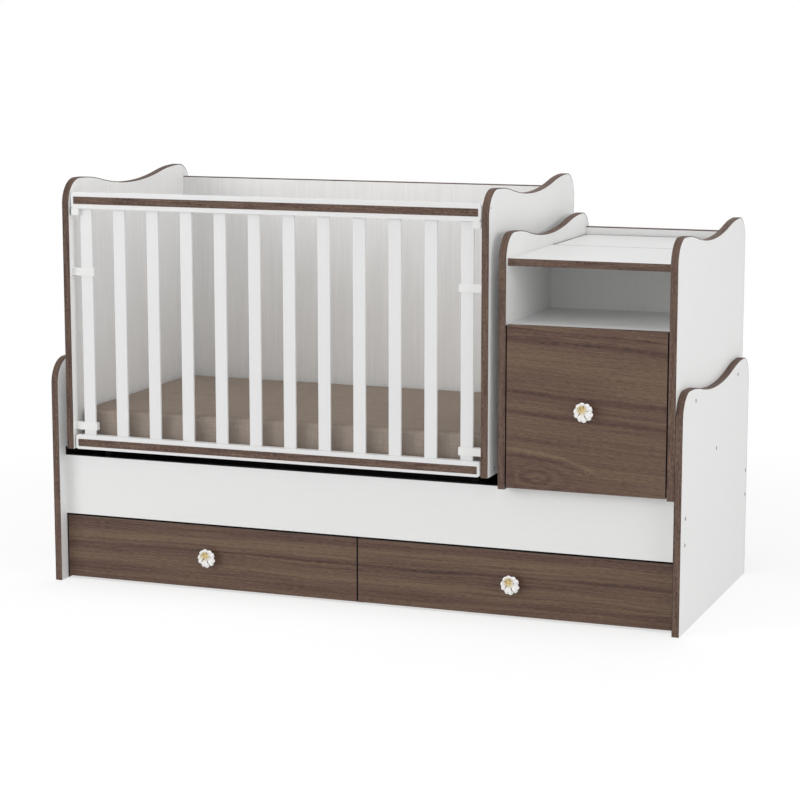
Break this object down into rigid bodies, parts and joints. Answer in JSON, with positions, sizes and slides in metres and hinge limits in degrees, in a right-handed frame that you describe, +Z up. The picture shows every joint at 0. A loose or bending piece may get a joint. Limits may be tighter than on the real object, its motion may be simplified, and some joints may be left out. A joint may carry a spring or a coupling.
{
  "type": "convertible crib",
  "caption": "Convertible crib: swinging slatted crib box with a drop side over a low base with drawers, and a changer cabinet with a deep drawer and an open niche.",
  "frame": {"origin": "on the floor, under the centre of the whole part's box, the cabinet's knob included", "axes": "+X along the base from the crib's end towards the changer cabinet, -Y towards the front with the drop side, drawers and knobs, +Z up"},
  "size_m": [1.68, 0.7419, 1.056],
  "materials": {
    "white_board": "white melamine-faced board, satin, faint wood grain",
    "walnut_board": "dark walnut laminate, satin, grain along the length",
    "walnut_edge": "dark walnut edge banding, satin",
    "white_lacquer": "white satin lacquer on solid wood",
    "dark_board": "near-black board, matt",
    "plain_wood": "raw light wood, matt",
    "steel": "zinc plated, satin",
    "black_steel": "blackened steel, satin",
    "white_plastic": "white moulded plastic, satin",
    "white_knob": "glossy white blossom with a gold centre",
    "mattress_fabric": "taupe woven cover, matt",
    "black_seal": "soft black seal, matt"
  },
  "bodies": {
    "base": {"base_left_panel": "white_board", "base_right_panel": "white_board", "base_edge_bands": "walnut_edge", "base_front_board": "white_board", "base_rear_board": "white_board", "base_partition": "white_board", "bed_deck": "dark_board", "deck_battens": "plain_wood", "base_screws": "steel", "base_drawer_guides": "plain_wood", "swing_stand_left": "dark_board", "swing_stand_right": "dark_board", "stand_pins": "black_steel", "cabinet_left_panel": "white_board", "cabinet_right_panel": "white_board", "cabinet_edge_bands": "walnut_edge", "changer_top": "white_board", "rear_top_board": "white_board", "lid_seal": "black_seal", "rear_board_battens": "plain_wood", "cabinet_back_panel": "white_board", "cabinet_shelf": "white_board", "cabinet_inner_back": "white_board", "cabinet_floor": "white_board", "cabinet_drawer_guides": "plain_wood"},
    "crib": {"crib_left_panel": "white_board", "crib_right_panel": "white_board", "crib_edge_bands": "walnut_edge", "crib_back_panel": "white_board", "crib_deck": "white_board", "mattress": "mattress_fabric", "swing_hanger_left": "dark_board", "swing_hanger_right": "dark_board", "hanger_pins": "black_steel", "slat_guides": "white_plastic", "latch_keepers": "steel", "crib_bolts": "steel"},
    "link_front_left": {"swing_link_front_left": "black_steel"},
    "link_front_right": {"swing_link_front_right": "black_steel"},
    "link_rear_left": {"swing_link_rear_left": "black_steel"},
    "link_rear_right": {"swing_link_rear_right": "black_steel"},
    "drop_side": {"drop_top_rail": "white_lacquer", "drop_bottom_rail": "white_lacquer", "rail_strips": "walnut_edge", "drop_slats": "white_lacquer", "latch_housings": "white_plastic"},
    "left_latch": {"latch_bolt_left": "steel"},
    "right_latch": {"latch_bolt_right": "steel"},
    "left_drawer": {"left_drawer_front": "walnut_board", "left_drawer_box": "white_board", "left_drawer_knob": "white_knob"},
    "right_drawer": {"right_drawer_front": "walnut_board", "right_drawer_box": "white_board", "right_drawer_knob": "white_knob"},
    "cabinet_drawer": {"cabinet_drawer_front": "walnut_board", "cabinet_drawer_box": "white_board", "cabinet_drawer_knob": "white_knob"}
  },
  "joints": [
    {"name": "crib_swing", "type": "hinge", "parent": "base", "child": "link_front_left", "pos_m": [-0.74, -0.21, 0.31], "axis": [1, 0, 0], "range_deg": [-15, 15]},
    {"name": "crib_level", "type": "hinge", "parent": "link_front_left", "child": "crib", "pos_m": [-0.74, -0.21, 0.244], "axis": [1, 0, 0], "range_deg": [-15, 15]},
    {"name": "front_right_link_swing", "type": "hinge", "parent": "base", "child": "link_front_right", "pos_m": [0.307, -0.21, 0.31], "axis": [1, 0, 0], "range_deg": [-15, 15]},
    {"name": "rear_left_link_swing", "type": "hinge", "parent": "base", "child": "link_rear_left", "pos_m": [-0.74, 0.22, 0.31], "axis": [1, 0, 0], "range_deg": [-15, 15]},
    {"name": "rear_right_link_swing", "type": "hinge", "parent": "base", "child": "link_rear_right", "pos_m": [0.307, 0.22, 0.31], "axis": [1, 0, 0], "range_deg": [-15, 15]},
    {"name": "drop_side_slide", "type": "slide", "parent": "crib", "child": "drop_side", "axis": [0, 0, -1], "range_m": [0, 0.125]},
    {"name": "left_latch_slide", "type": "slide", "parent": "drop_side", "child": "left_latch", "axis": [1, 0, 0], "range_m": [0, 0.005], "stiffness_N_per_m": 150, "springref_m": -0.004},
    {"name": "right_latch_slide", "type": "slide", "parent": "drop_side", "child": "right_latch", "axis": [-1, 0, 0], "range_m": [0, 0.005], "stiffness_N_per_m": 150, "springref_m": -0.004},
    {"name": "left_drawer_slide", "type": "slide", "parent": "base", "child": "left_drawer", "axis": [0, -1, 0], "range_m": [0, 0.4]},
    {"name": "right_drawer_slide", "type": "slide", "parent": "base", "child": "right_drawer", "axis": [0, -1, 0], "range_m": [0, 0.4]},
    {"name": "cabinet_drawer_slide", "type": "slide", "parent": "base", "child": "cabinet_drawer", "axis": [0, -1, 0], "range_m": [0, 0.24]}
  ],
  "couplings": [
    {"joint": "crib_level", "follows": "crib_swing", "ratio": -1},
    {"joint": "front_right_link_swing", "follows": "crib_swing", "ratio": 1},
    {"joint": "rear_left_link_swing", "follows": "crib_swing", "ratio": 1},
    {"joint": "rear_right_link_swing", "follows": "crib_swing", "ratio": 1}
  ]
}
